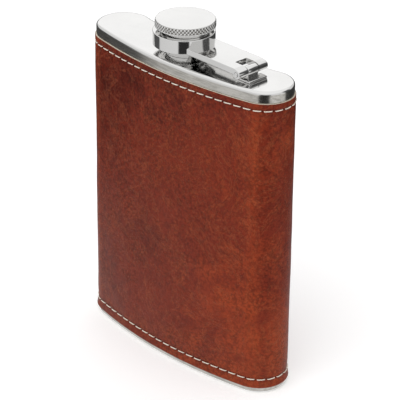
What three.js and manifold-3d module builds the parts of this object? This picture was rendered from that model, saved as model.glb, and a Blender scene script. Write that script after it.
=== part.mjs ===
// A stainless steel hip flask in a stitched leather wrap, with a screw cap held captive by a hinged arm.
// Millimetres, +Z up, origin at the middle of the base. -Y is the bowed front, +Y the hollow side
// that lies against the hip, and the cap's arm is hinged at +X.
import * as THREE from "three";
import { mergeVertices } from "three/addons/utils/BufferGeometryUtils.js";
import Module from "manifold-3d";

const wasm = await Module();
wasm.setup();

// Body: a bar of even thickness, bent to the hip's curve, with round ends.
const bodyWidth = 96;
const bodyThickness = 22;
const hipRadius = 160; // of the hollow side
const bodyHeight = 122.5; // base to the top plate's upper face
const steelWall = 0.5; // tube
const endWall = 0.7; // top and bottom plates
const rimInset = 0.5; // how far the steel rims lie inside the leather's face
const topRim = 4.4; // steel that shows above the leather
const bottomRim = 2; // steel that shows below the leather
const topRound = 1.3; // edge radius of the top plate
const bottomRound = 0.6;

// Wrap: leather over a thin lining, each a sleeve that butts at the middle of the hollow side.
const leatherThickness = 1;
const liningThickness = 0.5;
const seamGap = 0.3;
const threadThickness = 0.5; // needle thread, laid in the leather's face
const bobbinThickness = 0.3; // thread on the lining's inner side
const topStitchDrop = 2.6; // from the leather's top edge to the thread's middle
const bottomStitchRise = 3.5; // from the leather's bottom edge to the thread's middle
const stitchStop = 3; // from the seam to the end of each row of stitches

// Neck, about an axis just left of the middle.
const neckX = -1.8;
const armSetback = 2; // neck, arm and hinge lie this far behind the body's middle at x = 0
const threadRootRadius = 6.6; // of the neck
const neckWall = 1.1; // bore to the thread's root
const threadHeight = 0.6; // of the neck's thread, above its root
const threadPitch = 2.2;
const neckTurns = 1.4;
const ridgeFoot = 0.9; // thread ridge, along the axis at its root
const ridgeCrest = 0.5; // and at its crest
const neckHeight = 9.05; // above the top plate
const flangeWidth = 0.7; // beyond the thread's root
const flangeThickness = 0.5;

// Cap: a turned shell with a sleeve that passes down through the arm's collar.
const sealThickness = 1.4;
const insertTop = 1.3;
const capTop = 0.8;
const insertWall = 0.6; // at the bottom of its thread
const insertTurns = 1;
const sleeveWall = 0.6;
const headOverhang = 2.5; // beyond the sleeve
const headHeight = 2.8;
const headRound = 0.7;
const ringGroove = 0.3; // depth of the sleeve's groove
const ringThickness = 0.8;
const ringLip = 1.25; // how far the ring stands out of the sleeve
const ringSlit = 2;
const sleeveFoot = 0.8; // sleeve below the arm's underside

// Arm: a collar round the cap's sleeve, a strap, and two hinge knuckles.
const armRise = 2.9; // top plate to the arm's underside
const collarHeight = 5.2;
const collarWall = 0.7; // outside the ring's pocket
const collarDrift = 0.75; // the loose collar hangs this far off the neck's axis, away from the hinge
const collarLip = 0.9; // inner lip at the collar's top, which the ring can't pass
const strapThickness = 2.3;
const strapWidth = 14.4;
const hingeInset = 16.6; // from the body's end to the pin's axis
const hingeRise = 3.1; // top plate to the pin's axis
const knuckleRadius = 1.75;
const notchWidth = 5.7;
const notchReach = 4.9; // from the pin's axis into the strap
const pinRadius = 0.85;
const pinProud = 0.3; // at each end of the knuckles

// Hinge bracket: a foot welded to the top plate, a web, and the middle knuckle.
const footThickness = 0.7;
const footLength = 8;
const footWidth = 9;
const webLength = 2.8;

// Clearances.
const seat = 0.05; // between faces that are pressed, glued or welded together
const running = 0.1; // radial, between turning pieces
const slide = 0.85; // radial, between the sleeve or its ring and the collar, which fits loosely
const threadFit = 0.25; // radial, between one thread's crest and the other's root
const sideFit = 0.3; // middle knuckle to the sides of the notch

// How finely round shapes are cut.
const roundSegments = 48;
const outlineSegments = 6; // per arc of the body's outline, which three.js doubles
const far = 400; // longer than anything it cuts

// Sizes that follow.
const midRadius = hipRadius + bodyThickness / 2;
const endX = (bodyWidth - bodyThickness) / 2;
const endY = midRadius - Math.sqrt(midRadius ** 2 - endX ** 2);
const centreY = -endY / 2; // brings the middle of the outline's box to y = 0
const neckY = centreY + armSetback;
const collarX = neckX - collarDrift;
const hingeX = bodyWidth / 2 - hingeInset;
const leatherTop = bodyHeight - topRim;
const liningInset = leatherThickness + seat;
const tubeInset = liningInset + liningThickness + 3 * seat;
const tubeEndInset = rimInset + endWall + seat;
const boreRadius = threadRootRadius - neckWall;
const flangeRadius = threadRootRadius + flangeWidth;
const threadCrestRadius = threadRootRadius + threadHeight;
const insertBore = threadCrestRadius + threadFit;
const insertCrest = threadRootRadius + threadFit;
const insertRadius = insertBore + insertWall;
const sleeveBore = insertRadius + seat;
const sleeveRadius = sleeveBore + sleeveWall;
const headRadius = sleeveRadius + headOverhang;
const ringRadius = sleeveRadius + ringLip;
const collarBore = sleeveRadius + slide;
const collarPocket = ringRadius + slide;
const collarRadius = collarPocket + collarWall;
const armBottom = bodyHeight + armRise;
const collarTop = armBottom + collarHeight;
const neckTop = bodyHeight + neckHeight;
const sealBottom = neckTop + seat;
const insertCeiling = sealBottom + sealThickness + seat;
const insertEnd = insertCeiling + insertTop;
const capCeiling = insertEnd + seat;
const capEnd = capCeiling + capTop;
const headBottom = capEnd - headHeight;
const sleeveBottom = armBottom - sleeveFoot;
const ringBottom = armBottom + seat;
const threadStart = neckTop - threadPitch * neckTurns - 0.8 * ridgeFoot; // ridge's middle, at its lower end
const hingeZ = bodyHeight + hingeRise;

// ---- joining and cutting ----

// A closed three.js geometry as a solid that can be joined and cut.
function solid(geometry) {
  geometry.deleteAttribute("normal");
  geometry.deleteAttribute("uv");
  const merged = mergeVertices(geometry, 1e-4);
  const corners = merged.index.array;
  const faces = [];
  for (let i = 0; i < corners.length; i += 3) {
    const [a, b, c] = corners.slice(i, i + 3);
    if (a !== b && b !== c && c !== a) faces.push(a, b, c);
  }
  return new wasm.Manifold(new wasm.Mesh({
    numProp: 3,
    vertProperties: merged.attributes.position.array,
    triVerts: new Uint32Array(faces),
  }));
}

function toGeometry(made) {
  const mesh = made.getMesh();
  const geometry = new THREE.BufferGeometry();
  geometry.setAttribute("position", new THREE.BufferAttribute(mesh.vertProperties, 3));
  geometry.setIndex(new THREE.BufferAttribute(mesh.triVerts, 1));
  geometry.computeVertexNormals();
  return geometry;
}

// ---- basic shapes ----

// Outline of the body, a given distance inside the leather's face.
function bodyOutline(inset) {
  const half = bodyThickness / 2 - inset;
  const tilt = Math.asin(endX / midRadius);
  const down = -Math.PI / 2;
  const y = centreY + endY;
  const outline = new THREE.Shape();
  outline.absarc(0, centreY + midRadius, midRadius + half, down - tilt, down + tilt, false);
  outline.absarc(endX, y, half, down + tilt, down + tilt + Math.PI, false);
  outline.absarc(0, centreY + midRadius, midRadius - half, down + tilt, down - tilt, true);
  outline.absarc(-endX, y, half, down - tilt + Math.PI, down - tilt + 2 * Math.PI, false);
  return outline;
}

// A solid with the body's outline, from low to high.
function bodyBlock(inset, low, high) {
  const block = new THREE.ExtrudeGeometry(bodyOutline(inset), {
    depth: high - low, bevelEnabled: false, curveSegments: outlineSegments,
  });
  return solid(block.translate(0, 0, low));
}

// The same with both edges rounded.
function roundedBlock(inset, low, high, round) {
  const block = new THREE.ExtrudeGeometry(bodyOutline(inset), {
    depth: high - low - 2 * round, curveSegments: outlineSegments,
    bevelSize: round, bevelThickness: round, bevelOffset: -round, bevelSegments: 2,
  });
  return solid(block.translate(0, 0, low + round));
}

// A sleeve that follows the body's outline.
function bodySleeve(inset, thickness, low, high) {
  return bodyBlock(inset, low, high).subtract(bodyBlock(inset + thickness, low - 1, high + 1));
}

function box(centre, size) {
  return solid(new THREE.BoxGeometry(...size).translate(...centre));
}

// A solid turned about the neck's axis, from a list of [radius, height] that closes on itself and
// goes up its outer side.
function turned(profile) {
  const points = [...profile, profile[0]].map(([radius, height]) => new THREE.Vector2(radius, height));
  const lathe = new THREE.LatheGeometry(points, roundSegments);
  return solid(lathe.rotateX(Math.PI / 2).translate(neckX, neckY, 0));
}

// An upright round bar, about the neck's axis unless it is given another.
function neckBar(radius, low, high, x = neckX) {
  const bar = new THREE.CylinderGeometry(radius, radius, high - low, roundSegments);
  return solid(bar.rotateX(Math.PI / 2).translate(x, neckY, (low + high) / 2));
}

// A round bar about the hinge's axis.
function hingeBar(radius, from, to) {
  const bar = new THREE.CylinderGeometry(radius, radius, to - from, roundSegments / 2);
  return solid(bar.translate(hingeX, neckY + (from + to) / 2, hingeZ));
}

// A thread's ridge: a straight bar wound into a helix, from foot radius to crest radius. It rises
// by one pitch a turn from start, and its height fades away over the first and last tenth.
function threadRidge(foot, crest, start, turns) {
  const bar = new THREE.BoxGeometry(1, 1, 1, 1, 1, Math.round(turns * roundSegments));
  const place = bar.attributes.position;
  const facing = crest > foot ? -1 : 1;
  for (let i = 0; i < place.count; i++) {
    const out = place.getX(i) + 0.5;
    const along = place.getZ(i) + 0.5;
    const fade = Math.min(1, 0.1 + 10 * along, 0.1 + 10 * (1 - along));
    const width = ridgeFoot + (ridgeCrest - ridgeFoot) * out;
    const radius = foot + (crest - foot) * out * fade;
    const angle = 2 * Math.PI * turns * along;
    const height = start + threadPitch * turns * along + facing * place.getY(i) * width;
    place.setXYZ(i, neckX + radius * Math.cos(angle), neckY + radius * Math.sin(angle), height);
  }
  return solid(bar);
}

// ---- steel body ----

// The tube is set in between the rims, so that the wrap lies in a waist.
function bodyShell() {
  const low = endWall + seat;
  const high = bodyHeight - topRound - seat;
  const waistLow = bottomRim - seat;
  const waistHigh = leatherTop + seat;
  const outside = bodyBlock(tubeInset, low, high)
    .add(bodyBlock(tubeEndInset, low, waistLow))
    .add(bodyBlock(tubeEndInset, waistHigh, high));
  const inside = bodyBlock(tubeInset + steelWall, low - 1, high + 1)
    .add(bodyBlock(tubeEndInset + steelWall, low - 1, waistLow - steelWall))
    .add(bodyBlock(tubeEndInset + steelWall, waistHigh + steelWall, high + 1));
  return outside.subtract(inside);
}

// A pressed plate with a rounded edge and a skirt that hugs the end of the tube.
function topPlate() {
  const skirtLow = leatherTop + 2 * seat;
  const inner = topRound - endWall;
  return roundedBlock(rimInset, skirtLow - far / 2, bodyHeight, topRound)
    .subtract(roundedBlock(rimInset + endWall, skirtLow - far, bodyHeight - endWall, inner))
    .subtract(box([0, 0, skirtLow - far], [far, far, 2 * far]))
    .subtract(neckBar(threadRootRadius + seat, bodyHeight - far / 2, bodyHeight + 1));
}

function bottomPlate() {
  const skirtHigh = bottomRim - 2 * seat;
  return roundedBlock(rimInset, 0, far / 2, bottomRound)
    .subtract(bodyBlock(rimInset + endWall, endWall, far))
    .subtract(box([0, 0, skirtHigh + far], [far, far, 2 * far]));
}

function neck() {
  const spigot = bodyHeight - (endWall + topRound) / 2; // midway from the plate to the tube's end
  const flange = bodyHeight + seat;
  const step = threadStart - ridgeFoot;
  const chamfer = 0.4;
  const tube = turned([
    [boreRadius, spigot], [threadRootRadius, spigot], [threadRootRadius, flange], [flangeRadius, flange],
    [flangeRadius, flange + flangeThickness], [threadCrestRadius, flange + flangeThickness],
    [threadCrestRadius, step], [threadRootRadius, step + threadHeight],
    [threadRootRadius, neckTop - chamfer], [threadRootRadius - chamfer, neckTop], [boreRadius, neckTop],
  ]);
  return tube.add(threadRidge(threadRootRadius - 0.3, threadCrestRadius, threadStart, neckTurns));
}

// ---- wrap ----

// Cuts a sleeve open where its edges butt, at the middle of the hollow side.
function openSeam(sleeve, gap) {
  return sleeve.subtract(box([0, bodyThickness / 2, bodyHeight / 2], [gap, bodyThickness, far]));
}

const stitchRows = { top: leatherTop - topStitchDrop, bottom: bottomRim + bottomStitchRise };

function leatherWrap() {
  const groove = threadThickness + 2 * seat;
  let wrap = bodySleeve(0, leatherThickness, bottomRim, leatherTop);
  for (const height of Object.values(stitchRows))
    wrap = wrap.subtract(bodySleeve(-1, 1 + groove, height - groove / 2, height + groove / 2));
  return openSeam(wrap, seamGap);
}

function wrapLining() {
  const groove = bobbinThickness + 2 * seat;
  const inner = liningInset + liningThickness;
  let lining = bodySleeve(liningInset, liningThickness, bottomRim, leatherTop);
  for (const height of Object.values(stitchRows))
    lining = lining.subtract(bodySleeve(inner - groove, groove + 1, height - groove / 2, height + groove / 2));
  return openSeam(lining, seamGap);
}

function needleThread(height) {
  const low = height - threadThickness / 2;
  return openSeam(bodySleeve(seat, threadThickness, low, low + threadThickness), 2 * stitchStop);
}

function bobbinThread(height) {
  const low = height - bobbinThickness / 2;
  const inset = liningInset + liningThickness - bobbinThickness;
  return openSeam(bodySleeve(inset, bobbinThickness, low, low + bobbinThickness), 2 * stitchStop);
}

// ---- cap ----

function capShell() {
  const grooveLow = ringBottom - seat;
  const grooveHigh = ringBottom + ringThickness + seat;
  return turned([
    [0, capCeiling], [sleeveBore, capCeiling], [sleeveBore, sleeveBottom], [sleeveRadius, sleeveBottom],
    [sleeveRadius, grooveLow], [sleeveRadius - ringGroove, grooveLow],
    [sleeveRadius - ringGroove, grooveHigh], [sleeveRadius, grooveHigh],
    [sleeveRadius, headBottom], [headRadius, headBottom], [headRadius, capEnd - headRound],
    [headRadius - 0.3 * headRound, capEnd - 0.3 * headRound], [headRadius - headRound, capEnd], [0, capEnd],
  ]);
}

function capInsert() {
  const low = sleeveBottom + 0.2;
  const cup = neckBar(insertRadius, low, insertEnd).subtract(neckBar(insertBore, low - 1, insertCeiling));
  return cup.add(threadRidge(insertBore + 0.3, insertCrest, threadStart + threadPitch / 2, insertTurns));
}

const capSeal = () => neckBar(insertBore - running, sealBottom, sealBottom + sealThickness);

function capRing() {
  const inner = sleeveRadius - ringGroove + running;
  const middle = (inner + ringRadius) / 2;
  return neckBar(ringRadius, ringBottom, ringBottom + ringThickness)
    .subtract(neckBar(inner, ringBottom - 1, ringBottom + ringThickness + 1))
    .subtract(box([neckX - middle, neckY, ringBottom], [ringRadius - inner + 1, ringSlit, far]));
}

// ---- arm and hinge ----

// Side view of the strap, thickened at its end into a knuckle round the pin.
function strap() {
  const top = armBottom + strapThickness;
  const below = Math.asin((hingeZ - armBottom) / knuckleRadius);
  const side = new THREE.Shape();
  side.moveTo(collarX, top);
  side.lineTo(collarX, armBottom);
  side.absarc(hingeX, hingeZ, knuckleRadius, Math.PI + below, 2.4 * Math.PI, false);
  side.lineTo(hingeX - knuckleRadius / 2, top);
  const bar = new THREE.ExtrudeGeometry(side, {
    depth: strapWidth, bevelEnabled: false, curveSegments: roundSegments / 4,
  });
  return solid(bar.rotateX(Math.PI / 2).translate(0, neckY + strapWidth / 2, 0));
}

function swingArm() {
  const notch = notchReach + 2 * knuckleRadius;
  const lip = collarTop - collarLip;
  return neckBar(collarRadius, armBottom, collarTop, collarX)
    .add(strap())
    .subtract(neckBar(collarBore, armBottom - 1, collarTop + 1, collarX))
    .subtract(neckBar(collarPocket, armBottom - 1, lip, collarX))
    .subtract(box([hingeX - notchReach + notch / 2, neckY, hingeZ], [notch, notchWidth, far]))
    .subtract(hingeBar(pinRadius + running, -strapWidth, strapWidth));
}

function hingeBracket() {
  const width = notchWidth - 2 * sideFit;
  const foot = bodyHeight + seat;
  return box([hingeX, neckY, foot + footThickness / 2], [footLength, footWidth, footThickness])
    .add(box([hingeX, neckY, (foot + hingeZ) / 2], [webLength, width, hingeZ - foot]))
    .add(hingeBar(knuckleRadius, -width / 2, width / 2))
    .subtract(hingeBar(pinRadius + seat, -width, width));
}

function hingePin() {
  const reach = strapWidth / 2 + pinProud;
  return hingeBar(pinRadius, -reach, reach);
}

// ---- materials and assembly ----

const steel = { color: 0xd9dade, roughness: 0.12, metalness: 1 };
const leather = { color: 0x7d3728, roughness: 0.45, metalness: 0 };
const lining = { color: 0xb08a62, roughness: 0.9, metalness: 0 };
const thread = { color: 0xd8c8a4, roughness: 0.8, metalness: 0 };
const rubber = { color: 0xe6e6e0, roughness: 0.6, metalness: 0 };

function part(name, made, look) {
  const mesh = new THREE.Mesh(toGeometry(made), new THREE.MeshStandardMaterial(look));
  mesh.name = name;
  return mesh;
}

const hipFlask = new THREE.Group();
hipFlask.name = "hip_flask";
hipFlask.add(
  part("body_shell", bodyShell(), steel),
  part("top_plate", topPlate(), steel),
  part("bottom_plate", bottomPlate(), steel),
  part("neck", neck(), steel),
  part("leather_wrap", leatherWrap(), leather),
  part("wrap_lining", wrapLining(), lining),
  part("hinge_bracket", hingeBracket(), steel),
  part("hinge_pin", hingePin(), steel),
  part("swing_arm", swingArm(), steel),
  part("cap_shell", capShell(), steel),
  part("cap_insert", capInsert(), steel),
  part("cap_seal", capSeal(), rubber),
  part("cap_retaining_ring", capRing(), steel),
);
for (const [row, height] of Object.entries(stitchRows)) {
  hipFlask.add(part(`${row}_needle_thread`, needleThread(height), thread));
  hipFlask.add(part(`${row}_bobbin_thread`, bobbinThread(height), thread));
}

export default hipFlask;
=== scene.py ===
# A leather-wrapped steel hip flask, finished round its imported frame.
# +Z up, -Y the bowed front, +Y the hollow side. Shapes are worked out in millimetres and become
# metres where a mesh is made.
import math

import bpy
import numpy as np
from mathutils import Matrix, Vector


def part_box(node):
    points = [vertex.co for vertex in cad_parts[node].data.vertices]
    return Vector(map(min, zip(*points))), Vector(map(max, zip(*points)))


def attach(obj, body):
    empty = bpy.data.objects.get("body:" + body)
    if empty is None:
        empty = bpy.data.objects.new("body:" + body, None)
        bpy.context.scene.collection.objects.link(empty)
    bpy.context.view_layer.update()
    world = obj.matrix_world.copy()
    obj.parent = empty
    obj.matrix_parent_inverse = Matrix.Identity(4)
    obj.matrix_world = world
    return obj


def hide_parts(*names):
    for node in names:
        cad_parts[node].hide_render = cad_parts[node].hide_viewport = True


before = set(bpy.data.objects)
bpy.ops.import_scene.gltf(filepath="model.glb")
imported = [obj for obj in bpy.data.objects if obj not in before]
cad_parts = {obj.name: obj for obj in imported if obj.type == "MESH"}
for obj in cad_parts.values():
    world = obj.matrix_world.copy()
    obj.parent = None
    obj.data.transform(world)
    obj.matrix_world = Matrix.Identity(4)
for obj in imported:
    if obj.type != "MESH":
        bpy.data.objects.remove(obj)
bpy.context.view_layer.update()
metres = 0.001


def nodeBox(node):
    low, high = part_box(node)
    return np.array(low) / metres, np.array(high) / metres


leatherLow, leatherHigh = nodeBox("leather_wrap")
plateLow, plateHigh = nodeBox("top_plate")
baseHigh = nodeBox("bottom_plate")[1]
neckLow, neckHigh = nodeBox("neck")
capLow, capHigh = nodeBox("cap_shell")
insertLow, insertHigh = nodeBox("cap_insert")
sealLow, sealHigh = nodeBox("cap_seal")
ringLow, ringHigh = nodeBox("cap_retaining_ring")
armLow, armHigh = nodeBox("swing_arm")
pinLow, pinHigh = nodeBox("hinge_pin")
bracketLow, bracketHigh = nodeBox("hinge_bracket")
topRow = sum(nodeBox("top_needle_thread"))[2] / 2
bottomRow = sum(nodeBox("bottom_needle_thread"))[2] / 2
capAxis = (capLow + capHigh)[:2] / 2
hinge = (pinLow + pinHigh) / 2
plateTop = plateHigh[2]

body = dict(thickness=22.0, hipRadius=160.0, rimInset=0.5)
bodyWidth = leatherHigh[0] - leatherLow[0]
halfThick = body["thickness"] / 2
midRadius = body["hipRadius"] + halfThick
endX = bodyWidth / 2 - halfThick
endY = midRadius - math.sqrt(midRadius ** 2 - endX ** 2)
shiftY = -endY / 2
tilt = math.asin(endX / midRadius)
arcs = np.array([  # length of each stretch, counterclockwise from the seam at the hollow side's middle
    body["hipRadius"] * tilt, math.pi * halfThick, 2 * (midRadius + halfThick) * tilt,
    math.pi * halfThick, body["hipRadius"] * tilt])
outlineLength = arcs.sum()


# Point and outward normal on the outline. along is the distance from the seam on the outer face,
# so each stretch is an arc: centre + radius * (sin a, -cos a) for the two long sides, and centre
# + radius * (cos a, sin a) for the two round ends; an inset shortens the radius.
def outline(along, inset=0.0):
    ends = np.cumsum(arcs)
    starts = ends - arcs
    along = np.clip(np.asarray(along, float), 0, outlineLength - 1e-9)
    part = np.searchsorted(ends, along, side="right")
    share = (along - starts[part]) / arcs[part]
    angle = np.select(
        [part == 0, part == 1, part == 2, part == 3, part == 4],
        [-tilt * share, math.pi / 2 - tilt + math.pi * share, -tilt + 2 * tilt * share,
         -math.pi / 2 + tilt + math.pi * share, tilt * (1 - share)])
    long = np.isin(part, [0, 2, 4])
    side = np.where(part == 2, 1.0, -1.0)
    normalX = np.where(long, side * np.sin(angle), np.cos(angle))
    normalY = np.where(long, -side * np.cos(angle), np.sin(angle))
    radius = np.where(long, midRadius + side * halfThick, halfThick)
    centreX = np.where(long, 0, np.where(part == 1, -endX, endX))
    centreY = np.where(long, midRadius, endY) + shiftY
    sine, cosine = np.sin(angle), np.cos(angle)
    x = centreX + radius * np.where(long, sine, cosine)
    y = centreY + radius * np.where(long, -cosine, sine)
    return np.stack([x - inset * normalX, y - inset * normalY], -1), np.stack([normalX, normalY],
                                                                              -1)


# 0 below low, 1 above high, and t * t * (3 - 2 t) between.
def smooth(value, low, high):
    t = np.clip((value - low) / (high - low), 0, 1)
    return t * t * (3 - 2 * t)


# Corners (a, b, radius) joined by straight lines, each corner turned into an arc of its radius:
# tangent points at radius / tan(half the corner's angle), then an even sweep.
def roundedProfile(corners, steps=6, closed=True):
    count = len(corners)
    points = []
    for i, (a, b, radius) in enumerate(corners):
        here = np.array([a, b], float)
        if not closed and i in (0, count - 1) or radius <= 0:
            points.append(here[None])
            continue
        before = np.array(corners[i - 1][:2], float) - here
        after = np.array(corners[(i + 1) % count][:2], float) - here
        before /= np.linalg.norm(before)
        after /= np.linalg.norm(after)
        angle = math.acos(np.clip(before @ after, -1, 1))
        reach = radius / math.tan(angle / 2)
        middle = (before + after) / np.linalg.norm(before + after)
        centre = here + middle * radius / math.sin(angle / 2)
        first, last = here + before * reach - centre, here + after * reach - centre
        sweep = math.pi - angle
        t = np.linspace(0, 1, steps + 1)[:, None]
        arc = centre + (np.sin((1 - t) * sweep) * first
                        + np.sin(t * sweep) * last) / math.sin(sweep)
        guard = min(0.25 * radius, 0.08)
        points += [(here + before * (reach + guard))[None], arc,
                   (here + after * (reach + guard))[None]]
    return np.concatenate(points)


# The same line with points added so that none are further apart than step.
def denser(profile, step, closed=True):
    nexts = np.roll(profile, -1, 0) if closed else profile[1:]
    heads = profile if closed else profile[:-1]
    out = []
    for head, following in zip(heads, nexts):
        count = max(1, int(np.ceil(np.linalg.norm(following - head) / step)))
        t = np.linspace(0, 1, count, endpoint=False)[:, None]
        out.append(head + (following - head) * t)
    if not closed:
        out.append(profile[-1:])
    return np.concatenate(out)


# A mesh object from points in millimetres, smooth but for edges sharper than the angle.
def meshPiece(name, points, faces, uv=None, sharp=35):
    mesh = bpy.data.meshes.new(name)
    mesh.from_pydata((points * metres).tolist(), [], [list(f) for f in faces])
    mesh.update()
    if uv is not None:
        layer = mesh.uv_layers.new(name="UVMap")
        layer.data.foreach_set("uv", np.asarray(uv, np.float32).ravel())
    mesh.polygons.foreach_set("use_smooth", np.ones(len(mesh.polygons), bool))
    mesh.set_sharp_from_angle(angle=math.radians(sharp))
    piece = bpy.data.objects.new(name, mesh)
    bpy.context.scene.collection.objects.link(piece)
    return piece


# Quads (row, col), (row, col + 1), (row + 1, col + 1), (row + 1, col), and their grid places.
def gridFaces(rows, cols, wrapRows, wrapCols):
    r = np.arange(rows if wrapRows else rows - 1)
    c = np.arange(cols if wrapCols else cols - 1)
    row, col = (m.ravel() for m in np.meshgrid(r, c, indexing="ij"))
    down, right = (row + 1) % rows, (col + 1) % cols
    quads = np.stack([row * cols + col, row * cols + right, down * cols + right,
                      down * cols + col], -1)
    places = np.stack([np.stack([col, row], -1), np.stack([col + 1, row], -1),
                       np.stack([col + 1, row + 1], -1), np.stack([col, row + 1], -1)], 1)
    return quads, places


# A closed piece from a grid of points (rows, cols, 3). poles are a point before the first row and
# one after the last. Faces are turned round if the enclosed volume comes out negative.
def surface(name, points, wrapRows=True, wrapCols=True, poles=(), uvScale=(1.0, 1.0), sharp=35):
    rows, cols = points.shape[:2]
    quads, places = gridFaces(rows, cols, wrapRows, wrapCols)
    flat = points.reshape(-1, 3)
    faces = quads.tolist()
    uv = (places.reshape(-1, 2) * np.array(uvScale)).tolist()
    ring = np.arange(cols)
    for end, pole in enumerate(poles):
        if pole is None:
            continue
        flat = np.vstack([flat, pole])
        edge = ring + (rows - 1) * cols * end
        nextEdge = np.roll(edge, -1)
        tip = np.full(cols, len(flat) - 1)
        fan = np.stack([edge, nextEdge, tip] if end else [nextEdge, edge, tip], -1)
        faces += fan.tolist()
        uv += np.zeros((cols * 3, 2)).tolist()
    if not wrapCols and wrapRows:  # close both ends of an open band
        loop = np.arange(rows) * cols
        faces += [loop.tolist(), (loop + cols - 1)[::-1].tolist()]
        uv += np.zeros((rows * 2, 2)).tolist()
    triangles = np.array([(f[0], f[k], f[k + 1]) for f in faces[:len(quads)] for k in (1, 2)])
    extra = [(f[0], f[k], f[k + 1]) for f in faces[len(quads):] for k in range(1, len(f) - 1)]
    triangles = np.vstack([triangles, np.array(extra)]) if extra else triangles
    a, b, c = (flat[triangles[:, k]] for k in range(3))
    if (a * np.cross(b, c)).sum() < 0:
        ends = np.cumsum([len(f) for f in faces])
        uv = [q for f, stop in zip(faces, ends) for q in uv[stop - len(f):stop][::-1]]
        faces = [f[::-1] for f in faces]
    return meshPiece(name, flat, faces, uv, sharp)


# A profile of (radius, height) turned about a vertical axis: x = cx + r cos a, y = cy + r sin a,
# where r is the profile's radius plus relief(a, r, z). An open profile starts and ends on the
# axis.
def turned(name, profile, columns, centre=None, relief=None, closed=True, uvScale=(1.0, 1.0),
           sharp=35):
    centre = capAxis if centre is None else centre
    angle = np.arange(columns) * 2 * math.pi / columns
    rows = profile if closed else profile[1:-1]
    radius = np.repeat(rows[:, :1], columns, 1)
    height = np.repeat(rows[:, 1:], columns, 1)
    if relief is not None:
        radius = radius + relief(angle[None, :], radius, height)
    points = np.stack([centre[0] + radius * np.cos(angle), centre[1] + radius * np.sin(angle),
                       height], -1)
    poles = () if closed else [(centre[0], centre[1], profile[0, 1]),
                               (centre[0], centre[1], profile[-1, 1])]
    return surface(name, points, wrapRows=closed, poles=poles, uvScale=uvScale, sharp=sharp)


# base joined with, or cut by, each of the others, as one mesh.
def combine(name, base, others, operation, sharp=30):
    for other in others:
        change = base.modifiers.new("cut", "BOOLEAN")
        change.operation = operation
        change.solver = "EXACT"
        change.object = other
    result = bpy.data.meshes.new_from_object(base.evaluated_get(bpy.context.evaluated_depsgraph_get()))
    base.modifiers.clear()
    for other in others:
        bpy.data.objects.remove(other)
    base.data = result
    base.name = name
    result.name = name
    result.polygons.foreach_set("use_smooth", np.ones(len(result.polygons), bool))
    result.set_sharp_from_angle(angle=math.radians(sharp))
    return base


def newMaterial(name):
    material = bpy.data.materials.new(name)
    material.use_nodes = True
    tree = material.node_tree
    shader = tree.nodes["Principled BSDF"]
    return material, tree, shader


def add(tree, kind, inputs=None, **settings):
    node = tree.nodes.new(kind)
    for key, value in settings.items():
        setattr(node, key, value)
    for key, value in (inputs or {}).items():
        if isinstance(value, bpy.types.NodeSocket):
            tree.links.new(value, node.inputs[key])
        else:
            node.inputs[key].default_value = value
    return node


def math2(tree, operation, a, b=0.0, clamp=False):
    node = add(tree, "ShaderNodeMath", operation=operation, use_clamp=clamp)
    for i, value in enumerate((a, b)):
        if isinstance(value, bpy.types.NodeSocket):
            tree.links.new(value, node.inputs[i])
        else:
            node.inputs[i].default_value = value
    return node.outputs[0]


def times(tree, a, b):
    return math2(tree, "MULTIPLY", a, b)


def plus(tree, a, b):
    return math2(tree, "ADD", a, b)


def sine(tree, value):
    return add(tree, "ShaderNodeMath", {0: value}, operation="SINE").outputs[0]


def attribute(tree, name):
    node = add(tree, "ShaderNodeAttribute", attribute_name=name, attribute_type="GEOMETRY")
    return node.outputs["Fac"]


def ramp(tree, value, stops):
    node = add(tree, "ShaderNodeValToRGB", {"Fac": value})
    elements = node.color_ramp.elements
    while len(elements) < len(stops):
        elements.new(0.5)
    for element, (place, color) in zip(elements, stops):
        element.position = place
        element.color = (*color, 1) if len(color) == 3 else color
    return node.outputs["Color"]


def grey(value):
    return (value, value, value)


def mixColor(tree, share, a, b, blend="MIX"):
    node = add(tree, "ShaderNodeMix", data_type="RGBA", blend_type=blend)
    for key, value in ((0, share), (6, a), (7, b)):
        if isinstance(value, bpy.types.NodeSocket):
            tree.links.new(value, node.inputs[key])
        elif key == 0:
            node.inputs[0].default_value = value
        else:
            node.inputs[key].default_value = (*value, 1)
    return node.outputs[2]


def noise(tree, place, scale, detail=2.0, roughness=0.5, distortion=0.0):
    return add(tree, "ShaderNodeTexNoise", {"Vector": place, "Scale": scale, "Detail": detail,
               "Roughness": roughness, "Distortion": distortion}).outputs["Fac"]


def objectPlace(tree, scale=(1, 1, 1), place=(0, 0, 0)):
    coords = add(tree, "ShaderNodeTexCoord").outputs["Object"]
    return add(tree, "ShaderNodeMapping", {"Vector": coords, "Location": place,
                                           "Scale": scale}).outputs[0]


def uvPlace(tree, scale=(1, 1, 1), place=(0, 0, 0)):
    coords = add(tree, "ShaderNodeTexCoord").outputs["UV"]
    return add(tree, "ShaderNodeMapping", {"Vector": coords, "Location": place,
                                           "Scale": scale}).outputs[0]


# The darkest colour, (0.17, 0.155, 0.135), is painted shade for the knurl's valleys.
steel = dict(color=(0.80, 0.795, 0.785), satin=(0.62, 0.60, 0.56), satinDark=(0.40, 0.385, 0.355),
             knurlShade=(0.17, 0.155, 0.135), smudge=0.035, roughness=0.055, scratch=0.012)
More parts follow.
